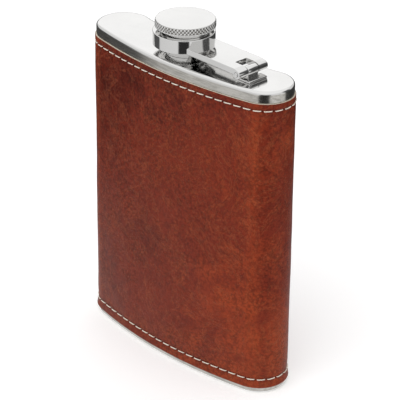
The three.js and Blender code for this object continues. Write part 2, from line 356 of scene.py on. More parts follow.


# Mirror-polished stainless steel: faint directional polishing lines, soft smudges, and, where asked,
# painted shade in the knurl's valleys.
def polishedSteel(name, stretch=(1, 1, 1), roughness=None, rings=None, skirtBelow=None,
                  shadeValleys=False):
    material, tree, shader = newMaterial(name)
    rough = steel["roughness"] if roughness is None else roughness
    fine = noise(tree, objectPlace(tree, stretch), 900, 3, 0.6)
    cloudy = noise(tree, objectPlace(tree), 55, 4, 0.6)
    tone = ramp(tree, cloudy, [(0.35, tuple(0.94 * c for c in steel["color"])),
                               (0.7, steel["color"])])
    amount = plus(tree, times(tree, cloudy, steel["smudge"]), rough)
    amount = plus(tree, amount, times(tree, fine, steel["smudge"]))
    if skirtBelow is not None:  # the drawn skirt keeps a satin finish, with marks along it
        height = add(tree, "ShaderNodeSeparateXYZ", {0: objectPlace(tree)}).outputs[2]
        below = add(tree, "ShaderNodeMapRange", {"Value": height, "From Min": skirtBelow * metres,
                                                 "From Max": (skirtBelow - 0.35) * metres}).outputs[0]
        marks = noise(tree, objectPlace(tree, (0.12, 0.5, 1)), 1100, 4, 0.65)
        satin = ramp(tree, marks, [(0.34, steel["satinDark"]), (0.62, steel["satin"])])
        tone = mixColor(tree, below, tone, satin)
        amount = plus(tree, amount, times(tree, below, 0.10))
    if shadeValleys:  # painted shade darkening the colour between the knurl's points
        knurlShade = attribute(tree, "valleyShade")
        tone = mixColor(tree, ramp(tree, knurlShade, [(0.58, grey(0)), (0.88, grey(1))]), tone,
                        steel["knurlShade"])
    tree.links.new(tone, shader.inputs["Base Color"])
    tree.links.new(amount, shader.inputs["Roughness"])
    height = fine
    if rings is not None:  # fine turning marks about the cap's axis
        centre = objectPlace(tree, (1, 1, 0), (-capAxis[0] * metres, -capAxis[1] * metres, 0))
        distance = add(tree, "ShaderNodeVectorMath", {0: centre},
                       operation="LENGTH").outputs["Value"]
        wave = sine(tree, times(tree, distance, rings))
        height = plus(tree, times(tree, wave, 0.5), fine)
    bump = add(tree, "ShaderNodeBump", {"Strength": steel["scratch"], "Distance": 0.0002,
                                        "Height": height})
    tree.links.new(bump.outputs[0], shader.inputs["Normal"])
    shader.inputs["Metallic"].default_value = 1.0
    return material


leather = dict(
    dark=(0.072, 0.0060, 0.0020), mid=(0.178, 0.0200, 0.0065), warm=(0.320, 0.046, 0.0110),
    # the greyish pink (0.200, 0.068, 0.054) is a painted sheen
    paintedSheen=(0.200, 0.068, 0.054), crease=(0.37, 0.090, 0.030), band=(0.150, 0.0120, 0.0035),
               # the pale (0.70, 0.64, 0.53) is the cut edge's own colour together with a painted
               # highlight
               edge=(0.70, 0.64, 0.53),
    roughness=0.32, grain=0.45)


# Reddish-brown pull-up leather: dark and orange patches, a crackle of lighter creases over a
# pebbled grain, dark needle holes along the stitching that carry painted shade, a greyish
# painted sheen low down, and a pale cut edge that also carries a painted highlight. Lightness
# climbs with height falling and with distance towards the hinge end, partly the hide's own tone
# and partly painted light.
def waxedLeather():
    material, tree, shader = newMaterial("waxed_leather")
    place = objectPlace(tree)
    split = add(tree, "ShaderNodeSeparateXYZ", {0: place})
    x, y, z = split.outputs[0], split.outputs[1], split.outputs[2]
    # broad patches of tone, and a slope of lightness that is partly the hide's tone and partly painted
    # light
    broad = noise(tree, place, 26, 3, 0.55, 0.4)
    patch = noise(tree, place, 95, 6, 0.68, 0.5)
    tone = plus(tree, times(tree, broad, 0.50), times(tree, patch, 0.50))
    # partly painted light: lighter towards the hinge end and lower down, on top of the hide's own tone
    toneAndLightSlope = plus(tree, times(tree, x, 2.2), times(tree, z, -1.4))
    tone = plus(tree, tone, plus(tree, toneAndLightSlope, 0.080))
    base = ramp(tree, tone, [(0.30, leather["dark"]), (0.47, leather["mid"]),
                             (0.55, leather["mid"]),
                             (0.72, leather["warm"])])
    # where the front turns into the round end: an orange streak beside a dark red one
    bend = add(tree, "ShaderNodeMapRange", {"Value": math2(tree, "ABSOLUTE", x), "From Min": 0.038,
                                            "From Max": 0.048}).outputs[0]
    streak = noise(tree, uvPlace(tree, (0.34, 0.045, 1)), 1.0, 5, 0.66, 0.3)
    uneven = ramp(tree, streak, [(0.38, grey(0.25)), (0.60, grey(1))])
    orangeBand = ramp(tree, bend, [(0.0, grey(0)), (0.36, grey(1)), (0.60, grey(0))])
    redBand = ramp(tree, bend, [(0.58, grey(0)), (0.78, grey(1)), (0.97, grey(0))])
    base = mixColor(tree, times(tree, times(tree, orangeBand, uneven), 0.75), base, leather["warm"])
    base = mixColor(tree, times(tree, redBand, 0.42), base, leather["band"])
    # painted sheen: a greyish veil of reflection, thickest low down on the side away from the hinge
    sheenNoise = noise(tree, objectPlace(tree, (1, 1, 0.6), (0.31, 0.12, 0.07)), 24, 4, 0.6, 0.3)
    low = add(tree, "ShaderNodeMapRange", {"Value": z, "From Min": 0.085,
                                           "From Max": 0.010}).outputs[0]
    side = add(tree, "ShaderNodeMapRange", {"Value": x, "From Min": 0.036, "From Max": -0.040,
                                            "To Min": 0.25}).outputs[0]
    sheenMask = times(tree, times(tree, low, side),
                 ramp(tree, sheenNoise, [(0.36, grey(0.35)), (0.62, grey(1))]))
    base = mixColor(tree, times(tree, sheenMask, 0.55), base, leather["paintedSheen"])
    # creases: thin lines where a distorted noise crosses its middle value
    crackle = math2(tree, "ABSOLUTE", math2(tree, "SUBTRACT",
                                            noise(tree, place, 150, 6, 0.74, 1.8), 0.5))
    fineLine = ramp(tree, crackle, [(0.0, grey(1)), (0.030, grey(0))])
    vein = math2(tree, "ABSOLUTE", math2(tree, "SUBTRACT", noise(tree, place, 40, 7, 0.70, 2.4),
                                         0.5))
    veinLine = ramp(tree, vein, [(0.0, grey(1)), (0.020, grey(0))])
    gathered = ramp(tree, noise(tree, place, 70, 3, 0.6), [(0.40, grey(0.15)), (0.60, grey(1))])
    gatheredLine = times(tree, fineLine, times(tree, gathered, 0.60))
    creases = math2(tree, "ADD", gatheredLine, times(tree, veinLine, 0.60), clamp=True)
    base = mixColor(tree, times(tree, creases, 0.60), base, leather["crease"])
    # pebbled grain, with dark pores between the pebbles
    warp = add(tree, "ShaderNodeTexNoise", {"Vector": place, "Scale": 420,
                                            "Detail": 2}).outputs["Color"]
    bent = add(tree, "ShaderNodeMix", {0: 0.0012, 6: place, 7: warp}, data_type="RGBA",
               blend_type="LINEAR_LIGHT").outputs[2]
    pebble = add(tree, "ShaderNodeTexVoronoi", {"Vector": bent, "Scale": 950},
                 feature="SMOOTH_F1").outputs["Distance"]
    pores = noise(tree, place, 1400, 4, 0.7)
    speckle = ramp(tree, pores, [(0.34, grey(0.70)), (0.50, grey(0.98)), (0.66, grey(1.0))])
    base = mixColor(tree, 1.0, base, speckle, "MULTIPLY")
    cells = ramp(tree, pebble, [(0.12, grey(1.0)), (0.34, grey(0.92)), (0.58, grey(0.60))])
    crazed = ramp(tree, noise(tree, place, 48, 4, 0.65), [(0.36, grey(0.25)), (0.60, grey(1.0))])
    base = mixColor(tree, crazed, base, mixColor(tree, 1.0, base, cells, "MULTIPLY"))
    # the cut edges, pale in their own colour and with a painted highlight, and the needle holes with
    # painted shade, marked by the piece's own attributes
    cut = attribute(tree, "cutEdgeHighlight")
    hole = attribute(tree, "needleHoleShade")
    # painted shade in the needle holes and along the sunk line of each row
    base = mixColor(tree, times(tree, hole, 0.85), base, (0.012, 0.004, 0.003))
    # pale cut edges: their own raw colour and a painted highlight where they catch the light
    base = mixColor(tree, cut, base, leather["edge"])
    tree.links.new(base, shader.inputs["Base Color"])
    rough = plus(tree, times(tree, patch, 0.16), leather["roughness"])
    rough = plus(tree, rough, times(tree, cut, 0.35))
    tree.links.new(rough, shader.inputs["Roughness"])
    relief = plus(tree, times(tree, pebble, -0.5), times(tree, pores, 0.35))
    relief = plus(tree, relief, times(tree, creases, -0.9))
    bump = add(tree, "ShaderNodeBump", {"Strength": leather["grain"], "Distance": 0.00022,
                                        "Height": relief})
    tree.links.new(bump.outputs[0], shader.inputs["Normal"])
    shader.inputs["Specular IOR Level"].default_value = 0.10
    return material


# Waxed cream thread: its plies run slantwise round the stitch, by the piece's UV map.
def twistedThread(name, color):
    material, tree, shader = newMaterial(name)
    split = add(tree, "ShaderNodeSeparateXYZ", {0: uvPlace(tree)})
    slant = plus(tree, times(tree, split.outputs[0], 12.57), times(tree, split.outputs[1], 25.1))
    ply = sine(tree, slant)
    fuzz = noise(tree, objectPlace(tree), 5200, 2, 0.6)
    tone = plus(tree, times(tree, ply, 0.22), times(tree, fuzz, 0.8))
    dark = tuple(0.55 * c for c in color)
    tree.links.new(ramp(tree, tone, [(0.15, dark), (0.6, color)]), shader.inputs["Base Color"])
    bump = add(tree, "ShaderNodeBump", {"Strength": 0.5, "Distance": 0.00008, "Height": tone})
    tree.links.new(bump.outputs[0], shader.inputs["Normal"])
    tree.links.new(plus(tree, times(tree, fuzz, 0.2), 0.6), shader.inputs["Roughness"])
    shader.inputs["Sheen Weight"].default_value = 0.3
    return material


# Bonded backing cloth: a fine plain weave.
def wovenLining():
    material, tree, shader = newMaterial("lining_cloth")
    split = add(tree, "ShaderNodeSeparateXYZ", {0: objectPlace(tree, (7000, 7000, 7000))})
    warp = sine(tree, plus(tree, split.outputs[0], split.outputs[1]))
    weft = sine(tree, split.outputs[2])
    weave = times(tree, warp, weft)
    tree.links.new(ramp(tree, weave, [(0.0, (0.25, 0.14, 0.08)), (0.7, (0.42, 0.26, 0.15))]),
                   shader.inputs["Base Color"])
    bump = add(tree, "ShaderNodeBump", {"Strength": 0.4, "Distance": 0.0001, "Height": weave})
    tree.links.new(bump.outputs[0], shader.inputs["Normal"])
    shader.inputs["Roughness"].default_value = 0.9
    return material


# Milky silicone with a faint moulded mottle.
def siliconeSeal():
    material, tree, shader = newMaterial("silicone_seal")
    cloud = noise(tree, objectPlace(tree), 260, 4, 0.6)
    tree.links.new(ramp(tree, cloud, [(0.3, (0.66, 0.66, 0.62)), (0.7, (0.8, 0.8, 0.77))]),
                   shader.inputs["Base Color"])
    tree.links.new(plus(tree, times(tree, cloud, 0.2), 0.4), shader.inputs["Roughness"])
    bump = add(tree, "ShaderNodeBump", {"Strength": 0.2, "Distance": 0.0001, "Height": cloud})
    tree.links.new(bump.outputs[0], shader.inputs["Normal"])
    shader.inputs["Subsurface Weight"].default_value = 0.15
    shader.inputs["Subsurface Scale"].default_value = 0.001
    return material


materials = dict(
    steel=polishedSteel("polished_steel", (1, 1, 0.04)),
    plate=polishedSteel("polished_plate", (0.06, 1, 1), skirtBelow=plateTop - 0.9),
    arm=polishedSteel("polished_arm", (0.05, 1, 1), 0.05),
    cap=polishedSteel("turned_steel", (1, 1, 0.2), 0.07, rings=30000, shadeValleys=True),
    wire=polishedSteel("drawn_wire", (1, 0.1, 1), 0.12),
    leather=waxedLeather(),
    thread=twistedThread("cream_thread", (0.90, 0.80, 0.68)),
    bobbin=twistedThread("bobbin_thread", (0.66, 0.54, 0.36)),
    lining=wovenLining(),
    seal=siliconeSeal(),
)


def dress(piece, material, bodyName, slot, *nodes):
    piece.data.materials.clear()
    piece.data.materials.append(material)
    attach(piece, bodyName)
    if nodes:
        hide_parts(*nodes)
    return piece


plate = dict(wall=0.7, edge=1.3, lip=0.18, columns=360)


# Rings of (inset, height) round the outline; where middle is given, the rings between the two
# ends of the profile close in on a round hole along straight lines from the axis.
def plateRings(profile, middle=None, columns=360):
    along = (np.arange(columns) + 0.5) * outlineLength / columns
    point, normal = outline(along)
    rows = point[None] - profile[:, 0][:, None, None] * normal[None]
    heights = np.repeat(profile[:, 1:], columns, 1)[..., None]
    rings = np.concatenate([rows, heights], -1)
    if middle is None:
        return rings
    centre, radius, steps = middle

    def closeIn(ring, height, shares):
        ray = ring[:, :2] - centre
        rim = centre + radius * ray / np.linalg.norm(ray, axis=1)[:, None]
        flat = ring[None, :, :2] + (rim - ring[:, :2])[None] * shares[:, None, None]
        return np.concatenate([flat, np.full((len(shares), columns, 1), height)], -1)

    shares = np.linspace(0, 1, steps + 1)[1:]
    top = closeIn(rings[-1], rings[-1, 0, 2], shares)
    under = closeIn(rings[0], rings[0, 0, 2], shares)[::-1]
    return np.concatenate([under, rings, top])


# The rings carried round the outline: each is outline(along, inset) at its own height.
def makeTopPlate():
    inset, wall, edge = body["rimInset"], plate["wall"], plate["edge"]
    skirt = plateLow[2]
    profile = roundedProfile([
        (inset + edge + 1.2, plateTop - wall, 0),
        (inset + wall, plateTop - wall, edge - wall), (inset + wall, skirt, 0.1),
        (inset, skirt, plate["lip"]), (inset, plateTop, edge), (inset + edge + 1.2, plateTop, 0)],
        steps=8, closed=False)
    hole = neckRoot + 0.05
    rings = plateRings(profile, (capAxis, hole, 14), plate["columns"])
    return surface("topPlate", rings, sharp=40)


# As the top plate, turned over: outline(along, inset) ring by ring, then a flat base.
def makeBottomPlate():
    inset, wall = body["rimInset"], plate["wall"]
    skirt = baseHigh[2]
    profile = roundedProfile([
        (inset + 2.4, 0.0, 0), (inset, 0.0, 0.6), (inset, skirt, plate["lip"]),
        (inset + wall, skirt, 0.1), (inset + wall, wall, 0.3), (inset + 2.4, wall, 0)],
        steps=6, closed=False)
    rings = plateRings(profile, (np.array([0.0, 0.0]), 0.4, 12), plate["columns"])
    centre = np.array([[0.0, 0.0, wall], [0.0, 0.0, 0.0]])
    return surface("bottomPlate", rings[:, :], wrapRows=False, poles=[centre[1], centre[0]],
                   sharp=40)


thread = dict(pitch=2.2, height=0.6, foot=0.9, crest=0.5, neckTurns=1.4, insertTurns=1.0)
neckTop = neckHigh[2]
flangeWidth, flangeThickness = 0.7, 0.5
neckRoot = (neckHigh[0] - neckLow[0]) / 2 - flangeWidth
neckBore = neckRoot - 1.1
threadStart = neckTop - thread["pitch"] * thread["neckTurns"] - 0.8 * thread["foot"]


# A helical ridge: 1 on its crest, 0 between turns. The axial distance to the nearest turn is ((z
# - start - pitch a / 2 pi + pitch / 2) mod pitch) - pitch / 2; the ends fade over a tenth.
def ridge(angle, height, start, turns):
    pitch = thread["pitch"]
    lead = pitch * angle / (2 * math.pi)
    turn = np.round((height - start - lead) / pitch)
    away = np.abs(height - start - lead - turn * pitch)
    across = np.clip((thread["foot"] / 2 - away) / ((thread["foot"] - thread["crest"]) / 2), 0, 1)
    along = (turn + angle / (2 * math.pi)) / turns
    return across * np.clip(10 * along, 0, 1) * np.clip(10 * (1 - along), 0, 1)


# A profile turned about the cap axis, its radius raised by the thread height times ridge.
def makeNeck():
    spigot, base = neckLow[2], plateTop + 0.05
    flange = neckRoot + flangeWidth
    rise = base + flangeThickness
    step = threadStart - thread["foot"]
    crest = neckRoot + thread["height"]
    corners = [
        (neckBore, spigot, 0.1), (neckRoot, spigot, 0.1), (neckRoot, base, 0), (flange, base, 0.05),
        (flange, rise, 0.04), (crest, rise, 0.0), (crest, step, 0.25),
        (neckRoot, step + 0.4, 0.15), (neckRoot, neckTop, 0.35), (neckBore, neckTop, 0.3)]
    profile = denser(roundedProfile(corners, 6), 0.14)

    def relief(angle, radius, height):
        outside = (radius > neckRoot - 0.02) & (height > step + 0.35)
        return np.where(outside, thread["height"] * ridge(angle, height, threadStart,
                                                          thread["neckTurns"]), 0)

    return turned("neckSpout", profile, 160, relief=relief, sharp=60)


knurl = dict(ridges=52, depth=0.34, columns=624, rows=15, diamond=1.4)
headBottom = capHigh[2] - 2.8


# A profile turned about the cap axis. On the side of its head the radius is less by
# depth * (1 - sqrt(left * right)), where left and right are 0.5 + 0.5 cos(ridges a +- climb):
# two crossed helices, whose crests meet in points.
def makeCapShell():
    head = (capHigh[0] - capLow[0]) / 2
    sleeve = head - 2.5
    bore = sleeve - 0.6
    ceiling, low, top = insertHigh[2] + 0.05, capLow[2], capHigh[2]
    grooveLow, grooveHigh, grooveIn = ringLow[2] - 0.05, ringHigh[2] + 0.05, 0.3
    corners = [
        (0, ceiling, 0), (bore, ceiling, 0.15), (bore, low, 0.15), (sleeve, low, 0.2),
        (sleeve, grooveLow, 0.03), (sleeve - grooveIn, grooveLow, 0.03),
        (sleeve - grooveIn, grooveHigh, 0.03), (sleeve, grooveHigh, 0.03),
        (sleeve, headBottom, 0.2), (head, headBottom, 0.25), (head, top, 0.62), (0, top + 0.05, 0)]
    profile = denser(roundedProfile(corners, 7, closed=False), 0.9, closed=False)
    sideLow, sideHigh = headBottom + 0.2, top - 0.5
    extra = np.stack([np.full(knurl["rows"], head), np.linspace(sideLow, sideHigh, knurl["rows"])],
                     -1)
    outer = np.argmax((profile[:, 0] > head - 1e-6) & (profile[:, 1] > headBottom))
    onSide = (np.abs(profile[:, 0] - head) < 1e-6) & (profile[:, 1] > sideLow) & (profile[:,
            1] < sideHigh)
    profile = np.concatenate([profile[:outer + 1], extra, profile[outer + 1:][~onSide[outer + 1:]]])
    order = np.arange(len(profile))
    side = (np.abs(profile[:, 0] - head) < 1e-6)
    order[side] = order[side][np.argsort(profile[side, 1])]
    profile = profile[order]

    def relief(angle, radius, height):
        zone = smooth(height, headBottom + 0.05,
                      headBottom + 0.35) * (1 - smooth(height, top - 0.22, top - 0.06))
        zone = zone * (radius > head - 0.6)
        climb = 2 * math.pi * (height - headBottom) / knurl["diamond"]
        left = 0.5 + 0.5 * np.cos(knurl["ridges"] * angle + climb)
        right = 0.5 + 0.5 * np.cos(knurl["ridges"] * angle - climb)
        return -knurl["depth"] * zone * (1 - np.sqrt(left * right))

    shell = turned("capShell", profile, knurl["columns"], relief=relief, closed=False, sharp=60)
    count = len(shell.data.vertices)
    spots = np.zeros(count * 3, np.float32)
    shell.data.vertices.foreach_get("co", spots)
    spots = spots.reshape(-1, 3) / metres
    # painted shade: how deep each point lies in the knurl's valleys, kept for the material to darken
    # them
    radius = np.hypot(spots[:, 0] - capAxis[0], spots[:, 1] - capAxis[1])
    valleyShade = np.clip((head - radius) / knurl["depth"], 0, 1)
    valleyShade *= (radius > head - 0.5) & (spots[:, 2] > headBottom + 0.1) & (spots[:, 2] < top - 0.3)
    shell.data.attributes.new("valleyShade", "FLOAT", "POINT").data.foreach_set("value",
            valleyShade.astype(np.float32))
    return shell


# A cup turned about the cap axis, with the thread height times ridge taken off its bore radius.
def makeCapInsert():
    outer = (insertHigh[0] - insertLow[0]) / 2
    bore = outer - 0.6
    low, ceiling, top = insertLow[2], sealHigh[2] + 0.05, insertHigh[2]
    corners = [(0, ceiling, 0), (bore, ceiling, 0.1), (bore, low, 0.2), (outer, low, 0.15),
               (outer, top, 0.2), (0, top, 0)]
    profile = denser(roundedProfile(corners, 4, closed=False), 0.15, closed=False)
    keep = (profile[:, 0] > bore - 0.2) & (profile[:, 0] < bore
                                           + 0.2) | (np.arange(len(profile)) % 4 == 0)
    keep[[0, -1]] = True
    profile = profile[keep]
    start = threadStart + thread["pitch"] / 2

    def relief(angle, radius, height):
        inside = (radius < bore + 0.05) & (radius > bore - 0.05) & (height < ceiling - 0.1)
        return -np.where(inside, thread["height"] * ridge(angle, height, start,
                                                          thread["insertTurns"]), 0)

    return turned("capInsert", profile, 128, relief=relief, closed=False, sharp=60)


# A disc with rounded edges: its profile turned about the cap axis.
def makeSeal():
    radius = (sealHigh[0] - sealLow[0]) / 2
    low, high = sealLow[2], sealHigh[2]
    corners = [(0, low, 0), (radius, low, 0.3), (radius, high, 0.3), (0, high, 0)]
    return turned("capSeal", denser(roundedProfile(corners, 6, closed=False), 0.8, closed=False),
                  96, closed=False)


# A rounded bar bent round the sleeve, open by a slit on the side away from the hinge.
def makeRetainingRing():
    outer = (ringHigh[1] - ringLow[1]) / 2
    inner = outer - 1.45
    low, high = ringLow[2], ringHigh[2]
    section = roundedProfile([(inner, low, 0.15), (outer, low, 0.3), (outer, high, 0.3),
                              (inner, high, 0.15)], 5)
    half = 1.0 / outer
    angle = np.linspace(math.pi + half, 3 * math.pi - half, 160)
    radius = section[:, :1]
    points = np.stack([capAxis[0] + radius * np.cos(angle), capAxis[1] + radius * np.sin(angle),
                       np.repeat(section[:, 1:], 160, 1)], -1)
    return surface("retainingRing", points, wrapCols=False)


arm = dict(rise=2.9, thickness=2.3, wall=0.7, lip=0.9, ledge=1.25, notchWidth=5.7, notchReach=4.9,
           edge=0.22, pinProud=0.3, bore=0.95)
strapWidth = pinHigh[1] - pinLow[1] - 2 * arm["pinProud"]
knuckle = armHigh[0] - hinge[0]


# A closed side view of (x, z) carried across the arm, with its outer edges rounded: at each step
# the profile is drawn in by edge * (1 - sin t) while y moves out by edge * (1 - cos t).
def acrossY(name, profile, width, edge, shape=None, sharp=35):
    nexts, before = np.roll(profile, -1, 0), np.roll(profile, 1, 0)
    tangent = nexts - before
    tangent /= np.linalg.norm(tangent, axis=1)[:, None]
    inward = np.stack([-tangent[:, 1], tangent[:, 0]], -1)
    a, b = profile, np.roll(profile, -1, 0)
    if (a[:, 0] * b[:, 1] - a[:, 1] * b[:, 0]).sum() < 0:
        inward = -inward
    t = np.linspace(0, math.pi / 2, 5)
    offsets = np.concatenate([edge * (1 - np.sin(t)), edge * (1 - np.sin(t[::-1]))])
    half = width / 2
    ys = np.concatenate([-half + edge * (1 - np.cos(t)), half - edge * (1 - np.cos(t[::-1]))])
    flat = profile[:, None, :] + inward[:, None, :] * offsets[None, :, None]
    points = np.stack([flat[..., 0], np.repeat(ys[None], len(profile), 0), flat[..., 1]], -1)
    if shape is not None:
        points = shape(points)
    points[..., 1] += hinge[1]
    return surface(name, points, wrapCols=False, sharp=sharp)


# A bar along Y: x = cx + r cos a, z = cz + r sin a, its ends eased by a small round.
def roundBar(name, radius, length, centre, columns=64):
    half, ease = length / 2, min(0.2, radius / 3)
    t = np.linspace(0, math.pi / 2, 5)
    ys = np.concatenate([-half + ease * (1 - np.cos(t)), half - ease * (1 - np.cos(t[::-1]))])
    radii = np.concatenate([radius - ease * (1 - np.sin(t)), radius - ease * (1 - np.sin(t[::-1]))])
    angle = np.arange(columns) * 2 * math.pi / columns
    points = np.stack([centre[0] + radii[:, None] * np.cos(angle),
                       np.repeat(centre[1] + ys[:, None], columns, 1),
                       centre[2] + radii[:, None] * np.sin(angle)], -1)
    poles = [(centre[0], centre[1] - half, centre[2]), (centre[0], centre[1] + half, centre[2])]
    return surface(name, points, wrapRows=False, poles=poles)


# A block with eased edges, as a rounded rectangle carried across Y.
def roundedBox(name, centre, size, edge):
    x, z = size[0] / 2, size[2] / 2
    section = roundedProfile([(centre[0] - x, centre[2] - z, edge),
                              (centre[0] + x, centre[2] - z, edge),
                              (centre[0] + x, centre[2] + z, edge),
                              (centre[0] - x, centre[2] + z, edge)], 4)
    return acrossY(name, section, size[1], edge)


# The collar is a profile turned about its own axis, and the strap a side view carried across Y.
# They are joined, then the notch and the pin bore are cut.
def makeArm():
    collarRadius = (armHigh[1] - armLow[1]) / 2
    collarAxis = np.array([armLow[0] + collarRadius, hinge[1]])
    low, top = plateTop + arm["rise"], armHigh[2]
    pocket = collarRadius - arm["wall"]
    bore = pocket - arm["ledge"]
    corners = [(pocket, low, 0.15), (collarRadius, low, 0.25), (collarRadius, top, 0.3),
               (bore, top, 0.25),
               (bore, top - arm["lip"], 0.1), (pocket, top - arm["lip"], 0.1)]
    collar = turned("collar", roundedProfile(corners, 6), 256, collarAxis)
    strapTop = low + arm["thickness"]
    start = collarAxis[0] + (pocket + collarRadius) / 2
    below = math.asin((hinge[2] - low) / knuckle)
    sweep = np.linspace(math.pi + below, 2.40 * math.pi, 40)
    knuckleArc = np.stack([hinge[0] + knuckle * np.cos(sweep), hinge[2] + knuckle * np.sin(sweep)],
                          -1)
    side = np.concatenate([
        [[start, low]], knuckleArc, roundedProfile([knuckleArc[-1].tolist() + [0],
                                                    (hinge[0] - knuckle / 2, strapTop, 1.2),
                                               (start, strapTop, 0)], 8, closed=False)[1:]])
    side = denser(side, 2.0)

    def hug(points):
        wall = (pocket + collarRadius) / 2
        sag = wall - np.sqrt(wall ** 2 - np.minimum(np.abs(points[..., 1]), wall * 0.99) ** 2)
        share = np.clip((hinge[0] - 2 * knuckle - points[...,
                0]) / (hinge[0] - 2 * knuckle - start), 0, 1)
        points[..., 0] -= sag * share
        return points

    strap = acrossY("strap", side, strapWidth, arm["edge"], hug)
    whole = combine("swingArm", collar, [strap], "UNION")
    reach = arm["notchReach"] + 2 * knuckle
    notch = roundedBox("notch", (hinge[0] - arm["notchReach"] + reach / 2, hinge[1], hinge[2]),
                       (reach, arm["notchWidth"], 9), 0.3)
    bore = roundBar("bore", arm["bore"], strapWidth + 4, hinge)
    return combine("swingArm", whole, [notch, bore], "DIFFERENCE")


# A foot and a web with a barrel on top, joined, then bored for the pin.
def makeBracket():
    width = arm["notchWidth"] - 0.6
    foot = bracketLow[2]
    size = bracketHigh - bracketLow
    plateFoot = roundedBox("foot", (hinge[0], hinge[1], foot + 0.35), (size[0], size[1], 0.7), 0.2)
    web = roundedBox("web", (hinge[0], hinge[1], (foot + 0.2 + hinge[2]) / 2),
                     (2.8, width, hinge[2] - foot - 0.2), 0.15)
    barrel = roundBar("barrel", knuckle, width, hinge, 96)
    whole = combine("hingeBracket", plateFoot, [web, barrel], "UNION")
    bore = roundBar("bore", 0.9, width + 4, hinge)
    return combine("hingeBracket", whole, [bore], "DIFFERENCE")


# A plain bar along Y with eased ends.
def makePin():
    radius = (pinHigh[0] - pinLow[0]) / 2
    return roundBar("hingePin", radius, pinHigh[1] - pinLow[1], hinge)


wrap = dict(thickness=1.0, gap=0.3, stop=3.0, stitches=52, perStitch=8, edgeRound=0.32,
            groove=0.20, pucker=0.16, flare=0.42, cinch=0.10, wave=0.10)
stitchLength = (outlineLength - 2 * wrap["stop"]) / wrap["stitches"]


# Slow unevenness between -1 and 1: three crossing sine waves.
def wobble(a, b, seed):
    return (np.sin(a + 1.7 * b + seed) + np.sin(0.63 * a - 1.21 * b + 2.1 * seed)
            + np.sin(1.9 * a + 0.41 * b + 3.3 * seed)) / 3


# Height of a row of stitches, which wanders a little as sewing does.
def rowHeight(row, along):
    return row + 0.10 * wobble(along / 17, 0, row)


# How far the leather's face stands out, in millimetres: slow waves in the glued hide, a sunk line
# under each row of stitches with a pucker at each needle hole, and a flared lower edge.
def faceRelief(along, height):
    low, high = leatherLow[2], leatherHigh[2]
    out = wrap["wave"] * wobble(along / 9, height / 13, 0.6) + 0.05 * wobble(along / 3.1,
                                                                             height / 4.3, 2.2)
    calm = smooth(height, low, low + 7) * (1 - smooth(height, high - 6, high))
    out = out * calm
    phase = (along - wrap["stop"]) / stitchLength
    nearHole = np.abs(phase - np.round(phase)) * stitchLength
    sewn = (along > wrap["stop"] - 0.4) & (along < outlineLength - wrap["stop"] + 0.4)
    for row in (topRow, bottomRow):
        away = height - rowHeight(row, along)
        trench = np.exp(-(away / 0.75) ** 2)
        hole = np.exp(-(nearHole / 0.42) ** 2 - (away / 0.42) ** 2)
        out = out - np.where(sewn, wrap["groove"] * trench + wrap["pucker"] * hole, 0)
    lowerEdge = 1 - smooth(height, low, bottomRow - 0.6)
    out = out + wrap["flare"] * lowerEdge + 0.06 * lowerEdge * wobble(along / 6, 0, 4.4)
    waist = np.exp(-((height - bottomRow - 1.2) / 2.2) ** 2)
    out = out - wrap["cinch"] * waist
    fromSeam = np.minimum(along, outlineLength - along)
    return out - 0.38 * (1 - smooth(fromSeam, 0.1, 1.3))


